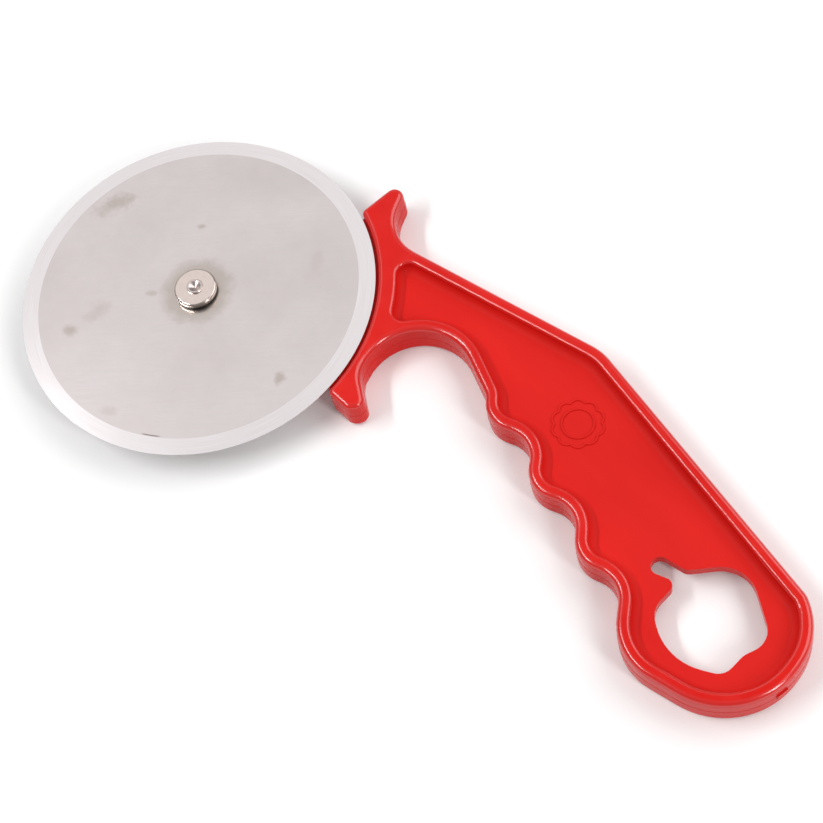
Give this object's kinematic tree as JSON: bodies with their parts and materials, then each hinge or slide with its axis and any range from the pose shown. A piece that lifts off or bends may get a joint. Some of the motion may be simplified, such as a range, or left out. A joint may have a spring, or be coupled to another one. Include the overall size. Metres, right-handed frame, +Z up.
{
  "type": "pastry cutter wheel",
  "caption": "Rolling cutter: a round steel blade turning on a riveted hub in a red plastic handle with finger guard, grooves and a bottle opener in its tail.",
  "frame": {"origin": "on the plane the tool rests on when it lies on its back, under the middle of its bounding box", "axes": "+X along the tool from the wheel towards the opener in the tail; +Y towards the spine and the upper finger guard; +Z up along the wheel's axle, from the back of the handle to the hub collar"},
  "size_m": [0.2434, 0.1068, 0.0128],
  "materials": {
    "red_plastic": "glossy moulded",
    "blade_steel": "fine ground, brighter ground bevel",
    "bright_nickel": "polished nickel",
    "washer_steel": "plain zinc-plated",
    "rivet_steel": "bright headed steel"
  },
  "bodies": {
    "handle_body": {"handle": "red_plastic", "hub_collar": "bright_nickel", "inner_washer": "washer_steel", "back_washer": "washer_steel", "axle_rivet": "rivet_steel"},
    "wheel_body": {"cutting_wheel": "blade_steel"}
  },
  "joints": [
    {"name": "wheel_spin", "type": "hinge", "parent": "handle_body", "child": "wheel_body", "pos_m": [-0.07168, -0.00345, 0.0095], "axis": [0, 0, 1], "continuous": true}
  ]
}
